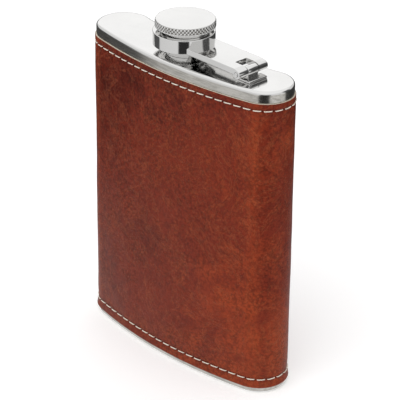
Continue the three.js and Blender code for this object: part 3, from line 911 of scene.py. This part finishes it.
# A closed strip (face, top edge, back, lower edge) carried along the outline: the place is
# outline(along) + normal * (faceRelief - inset), at height rise.
def makeLeather():
    low, high = leatherLow[2], leatherHigh[2]
    margin = wrap["stop"] - wrap["gap"] / 2
    edgeCols = wrap["gap"] / 2 + margin * np.array([0, 0.05, 0.12, 0.2, 0.32, 0.46, 0.64, 0.82])
    middle = wrap["stop"] + np.arange(wrap["stitches"] * wrap["perStitch"]
                                      + 1) * stitchLength / wrap["perStitch"]
    along = np.concatenate([edgeCols, middle, outlineLength - edgeCols[::-1]])
    r = wrap["edgeRound"]
    sides = [np.arange(row - 1.4, row + 1.41, 0.28) for row in (bottomRow, topRow)]
    heights = np.concatenate([
        np.linspace(low + r, bottomRow - 1.6, 7), sides[0],
                              np.arange(bottomRow + 1.9, topRow - 1.9, 0.95),
        sides[1], np.linspace(topRow + 1.6, high - r, 4)])
    t = np.linspace(0, math.pi / 2, 6)[1:-1]
    # up the face, over the top edge, down the back, and under the lower edge
    inset = np.concatenate([
        np.zeros(len(heights)), r * (1 - np.cos(t)), [r, wrap["thickness"]],
                            [wrap["thickness"]] * 2,
        [wrap["thickness"], r], r * (1 - np.cos(t[::-1]))])
    rise = np.concatenate([
        heights, high - r + r * np.sin(t), [high, high], [high * 0.66, high * 0.33],
        [low, low], low + r - r * np.sin(t[::-1])])
    front = np.concatenate([  # the face's relief reaches the edges and fades towards the back
        np.ones(len(heights)), np.ones(len(t)), [1.0, 0.0], [0, 0], [0.0, 1.0], np.ones(len(t))])
    point, normal = outline(along)
    grid = np.meshgrid(along, rise)
    out = faceRelief(grid[0], grid[1]) * front[:, None]
    offset = (out - inset[:, None])[..., None]
    place = point[None] + normal[None] * offset
    points = np.concatenate([place, np.repeat(rise[:, None], len(along), 1)[..., None]], -1)
    piece = surface("leatherWrap", points, wrapCols=False, sharp=70)
    # the cut edges, top and bottom, are pale, partly their own colour and partly a painted highlight;
    # the needle holes and a fainter line along each row of stitches carry painted shade
    count = len(piece.data.vertices)
    rowsOf = np.arange(count) // len(along)
    colsOf = np.arange(count) % len(along)
    # the cut edge mask, top and bottom, carries the raw colour and a painted highlight
    edgeRows = (rise > high - 0.03) | (rise < low + 0.02)
    cutEdgeHighlight = edgeRows[rowsOf].astype(np.float32)
    a, h = along[colsOf], rise[rowsOf]
    phase = (a - wrap["stop"]) / stitchLength
    near = np.abs(phase - np.round(phase)) * stitchLength
    sewn = (a > wrap["stop"] - 0.4) & (a < outlineLength - wrap["stop"] + 0.4)
    # painted shade: dark at each needle hole, fainter along the sunk groove under each row
    holeShade = np.zeros(count)
    for row in (topRow, bottomRow):
        away = h - rowHeight(row, a)
        holeShade = np.maximum(holeShade, np.exp(-(near / 0.4) ** 2 - (away / 0.38) ** 2) * sewn)
        holeShade = np.maximum(holeShade, 0.35 * np.exp(-(away / 0.45) ** 2) * sewn)
    face = rowsOf < len(heights)
    for label, values in (("cutEdgeHighlight", cutEdgeHighlight), ("needleHoleShade", holeShade * face)):
        piece.data.attributes.new(label, "FLOAT", "POINT").data.foreach_set("value",
                np.asarray(values, np.float32))
    uvLayer = piece.data.uv_layers["UVMap"].data  # distance round the body and height, in millimetres
    corner = np.zeros(len(piece.data.loops), np.int32)
    piece.data.loops.foreach_get("vertex_index", corner)
    uvLayer.foreach_set("uv", np.stack([a[corner], h[corner]], -1).astype(np.float32).ravel())
    return piece


stitch = dict(radius=0.21, proud=0.17, sink=0.42, ends=0.30, slant=0.14, steps=11, sides=8)


# A row of lockstitches. Along each, t from 0 to 1: out = proud - (proud + sink) (2t - 1)^8, with
# a slight slant, and a round section that thins into the needle hole.
def makeStitches(name, row):
    index = np.arange(wrap["stitches"])[:, None]
    t = np.linspace(0, 1, stitch["steps"])[None, :]
    begin = wrap["stop"] + index * stitchLength + stitch["ends"]
    along = begin + t * (stitchLength - 2 * stitch["ends"])
    jitter = np.sin(index * 12.9898 + row) * 0.05
    height = rowHeight(row, along) + stitch["slant"] * (t - 0.5) + jitter
    ends = np.abs(2 * t - 1) ** 8
    out = stitch["proud"] - (stitch["proud"] + stitch["sink"]) * ends - wrap["groove"] * 0.8
    out = out + 0.02 * np.sin(index * 7.1)
    radius = stitch["radius"] * (1 - 0.45 * ends)
    point, normal = outline(along)
    centre = np.concatenate([point + normal * out[..., None], height[..., None]], -1)
    outward = np.concatenate([normal, np.zeros(normal.shape[:-1] + (1,))], -1)
    turn = np.arange(stitch["sides"]) * 2 * math.pi / stitch["sides"]
    ring = (outward[:, :, None] * np.cos(turn)[None, None, :, None]
            + np.array([0, 0, 1.0]) * np.sin(turn)[None, None, :, None])
    points = centre[:, :, None] + ring * radius[:, :, None, None]
    quads, places = gridFaces(stitch["steps"], stitch["sides"], False, True)
    size = stitch["steps"] * stitch["sides"]
    shifts = (np.arange(wrap["stitches"]) * size)[:, None, None]
    allQuads = (quads[None] + shifts).reshape(-1, 4)
    firstRing = np.arange(stitch["sides"])
    caps = np.stack([firstRing[::-1], firstRing + size - stitch["sides"]])
    allCaps = (caps[None] + shifts).reshape(-1, stitch["sides"])
    flat = points.reshape(-1, 3)
    a, b, c, d = (flat[allQuads[:, k]] for k in range(4))
    inside = ((a * np.cross(b, c)).sum() + (a * np.cross(c, d)).sum()) < 0
    faces = allQuads.tolist() + allCaps.tolist()
    uv = np.concatenate([
        np.tile(places / np.array([stitch["sides"], stitch["steps"] - 1.0]),
                (wrap["stitches"], 1, 1)).reshape(-1, 2),
        np.zeros((allCaps.size, 2))])
    if inside:
        faces = [f[::-1] for f in faces]
    return meshPiece(name, flat, faces, uv, 80)


print("steel body")
dress(makeTopPlate(), materials["plate"], "flask", "polished_steel", "top_plate")
dress(makeBottomPlate(), materials["plate"], "flask", "polished_steel", "bottom_plate")
print("neck and cap")
dress(makeNeck(), materials["steel"], "flask", "polished_steel", "neck")
dress(makeCapShell(), materials["cap"], "cap", "polished_steel", "cap_shell")
dress(makeCapInsert(), materials["steel"], "cap", "polished_steel", "cap_insert")
dress(makeSeal(), materials["seal"], "cap", "seal", "cap_seal")
dress(makeRetainingRing(), materials["wire"], "ring", "hinge_steel", "cap_retaining_ring")
print("arm and hinge")
dress(makeArm(), materials["arm"], "arm", "polished_steel", "swing_arm")
dress(makeBracket(), materials["arm"], "flask", "polished_steel", "hinge_bracket")
dress(makePin(), materials["wire"], "flask", "hinge_steel", "hinge_pin")
print("leather and stitching")
leatherPiece = dress(makeLeather(), materials["leather"], "flask", "leather", "leather_wrap")
dress(makeStitches("topStitches", topRow), materials["thread"], "flask", "needle_thread",
      "top_needle_thread")
dress(makeStitches("bottomStitches", bottomRow), materials["thread"], "flask", "needle_thread",
      "bottom_needle_thread")

print("frame pieces that stay")
for node, material in (("body_shell", "steel"), ("wrap_lining", "lining"),
                       ("top_bobbin_thread", "bobbin"),
                       ("bottom_bobbin_thread", "bobbin")):
    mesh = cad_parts[node].data
    mesh.materials.clear()
    mesh.materials.append(materials[material])


# A wide pale disc.
def makeFloor():
    angle = np.arange(96) * 2 * math.pi / 96
    radii = np.array([0.15, 0.6, 1.5, 4.0])[:, None] / metres
    points = np.stack([radii * np.cos(angle), radii * np.sin(angle), np.zeros((4, 96)) - 0.02], -1)
    quads, _ = gridFaces(4, 96, False, True)
    faces = quads.tolist() + [np.arange(96).tolist()]
    floor = meshPiece("floor", points.reshape(-1, 3),
                      [f[::-1] if len(f) == 4 else f for f in faces])
    material, tree, shader = newMaterial("pale_floor")
    shader.inputs["Base Color"].default_value = (0.97, 0.97, 0.97, 1)
    shader.inputs["Roughness"].default_value = 0.9
    shader.inputs["Specular IOR Level"].default_value = 0.1
    shader.inputs["Emission Color"].default_value = (1, 1, 1, 1)
    shader.inputs["Emission Strength"].default_value = 0.16
    floor.data.materials.append(material)
    floor.visible_glossy = False


# A soft box that faces the flask from a compass direction and height.
def areaLight(name, azimuth, elevation, distance, size, power, color=(1, 1, 1)):
    light = bpy.data.lights.new(name, "AREA")
    light.shape = "RECTANGLE"
    light.size, light.size_y = size
    light.energy = power
    light.color = color
    lamp = bpy.data.objects.new(name, light)
    lamp.visible_glossy = False
    bpy.context.scene.collection.objects.link(lamp)
    az, el = math.radians(azimuth), math.radians(elevation)
    aim = np.array([0, 0, 0.07])
    back = np.array([math.sin(az) * math.cos(el), -math.cos(az) * math.cos(el), math.sin(el)])
    placeAndTurn(lamp, aim + back * distance, back)


# Stands a lamp or camera at a place, with its own Z along back and its top upwards.
def placeAndTurn(thing, place, back, roll=0.0):
    right = np.cross([0, 0, 1], back)
    right /= np.linalg.norm(right)
    up = np.cross(back, right)
    c, s = math.cos(roll), math.sin(roll)
    right, up = c * right + s * up, c * up - s * right
    matrix = np.eye(4)
    matrix[:3, 0], matrix[:3, 1], matrix[:3, 2], matrix[:3, 3] = right, up, back, place
    thing.matrix_world = Matrix(matrix.tolist())


# Brightness of the studio by compass direction, in degrees from the front: soft boxes with dark
# gaps between them, which give the polished steel its bands.
studio = [(-180, 0.06), (-137, 0.06), (-131, 0.09), (-55, 0.09), (-49, 0.72), (24, 0.78),
          (28, 0.03),
          (63, 0.03), (67, 0.85), (121, 0.8), (126, 0.05), (178, 0.05)]
backdrop = dict(azimuth=227, reach=26, tone=1.12, upper=0.78, shade=0.10, dip=(114, 121, 150, 157))


# Degrees round from the front, 0 to 1 for -180 to 180, from the atan2 of x and -y.
def compass(tree, x, y):
    angle = math2(tree, "ARCTAN2", x, times(tree, y, -1.0))
    return plus(tree, times(tree, angle, 0.5 / math.pi), 0.5)


def studioTone(tree, turn):
    return ramp(tree, turn, [((degrees + 180) / 360, grey(value)) for degrees, value in studio])


# The room above the floor: the studio's zones low down, a bright backdrop behind, a white
# ceiling.
def makeWorld():
    world = bpy.data.worlds.new("studio")
    bpy.context.scene.world = world
    world.use_nodes = True
    tree = world.node_tree
    background = tree.nodes["Background"]
    split = add(tree, "ShaderNodeSeparateXYZ",
                {0: add(tree, "ShaderNodeTexCoord").outputs["Generated"]})
    turn = compass(tree, split.outputs[0], split.outputs[1])
    low = studioTone(tree, turn)
    centre = (backdrop["azimuth"] - 360 + 180) / 360
    away = math2(tree, "ABSOLUTE", math2(tree, "SUBTRACT", turn, centre))
    behind = ramp(tree, times(tree, away, 360 / 60), [
        (backdrop["reach"] / 60, grey(1)), (backdrop["reach"] / 60 + 0.06, grey(0))])
    lift = ramp(tree, split.outputs[2], [(0.08, grey(0)), (0.16, grey(1))])
    dip = [(azimuth + 180) / 360 for azimuth in backdrop["dip"]]
    upper = ramp(tree, turn, [(dip[0], grey(backdrop["upper"])), (dip[1], grey(backdrop["shade"])),
                              (dip[2], grey(backdrop["shade"])), (dip[3], grey(backdrop["upper"]))])
    low = mixColor(tree, lift, low, mixColor(tree, behind, upper, grey(backdrop["tone"])))
    ceiling = ramp(tree, split.outputs[2], [(0.52, grey(0)), (0.68, grey(1))])
    tone = mixColor(tree, ceiling, low, grey(1.0))
    tree.links.new(tone, background.inputs["Color"])
    background.inputs["Strength"].default_value = 1.0


# What polished surfaces see when they look down: white close to the flask, and further off the
# studio's zones. It is seen by reflections only.
def makeReflectedFloor():
    angle = np.arange(96) * 2 * math.pi / 96
    radii = np.array([0.0001, 0.08, 0.2, 0.6, 4.0])[:, None] / metres
    points = np.stack([radii * np.cos(angle), radii * np.sin(angle), np.zeros((5, 96)) - 0.01], -1)
    quads, _ = gridFaces(5, 96, False, True)
    card = meshPiece("reflectedFloor", points.reshape(-1, 3), [f[::-1] for f in quads.tolist()])
    material, tree, shader = newMaterial("reflected_floor")
    split = add(tree, "ShaderNodeSeparateXYZ", {0: objectPlace(tree)})
    x, y = split.outputs[0], split.outputs[1]
    zones = studioTone(tree, compass(tree, x, y))
    distance = math2(tree, "POWER", plus(tree, times(tree, x, x), times(tree, y, y)), 0.5)
    far = ramp(tree, times(tree, distance, 2.0), [(0.18, grey(0)), (0.42, grey(1))])
    glow = add(tree, "ShaderNodeEmission", {"Color": mixColor(tree, far, grey(0.85), zones)})
    tree.links.new(glow.outputs[0], tree.nodes["Material Output"].inputs["Surface"])
    card.data.materials.append(material)
    card.visible_camera = card.visible_diffuse = card.visible_shadow = card.visible_transmission = False


view = dict(azimuth=46.13, elevation=27.26, roll=0.43, distance=0.8155, lens=195.53,
            target=(0.0, shiftY * metres, 0.060), shift=(0.041, 0.0165))


# Stands at target + back * distance and looks along -back.
def makeCamera():
    camera = bpy.data.cameras.new("camera")
    camera.sensor_width = 36
    camera.lens = view["lens"]
    camera.shift_x, camera.shift_y = view["shift"]
    camera.clip_start, camera.clip_end = 0.05, 20
    thing = bpy.data.objects.new("camera", camera)
    bpy.context.scene.collection.objects.link(thing)
    az, el = math.radians(view["azimuth"]), math.radians(view["elevation"])
    back = np.array([math.sin(az) * math.cos(el), -math.cos(az) * math.cos(el), math.sin(el)])
    placeAndTurn(thing, np.array(view["target"]) + back * view["distance"], back,
                 math.radians(view["roll"]))
    bpy.context.scene.camera = thing


print("floor, light and camera")
makeFloor()
makeReflectedFloor()
makeWorld()
areaLight("keyBox", 20, 55, 0.95, (0.7, 0.7), 1.9)
areaLight("leftBox", -20, 40, 1.0, (0.5, 0.7), 0.6)
makeCamera()
bpy.context.scene.view_settings.view_transform = "Standard"
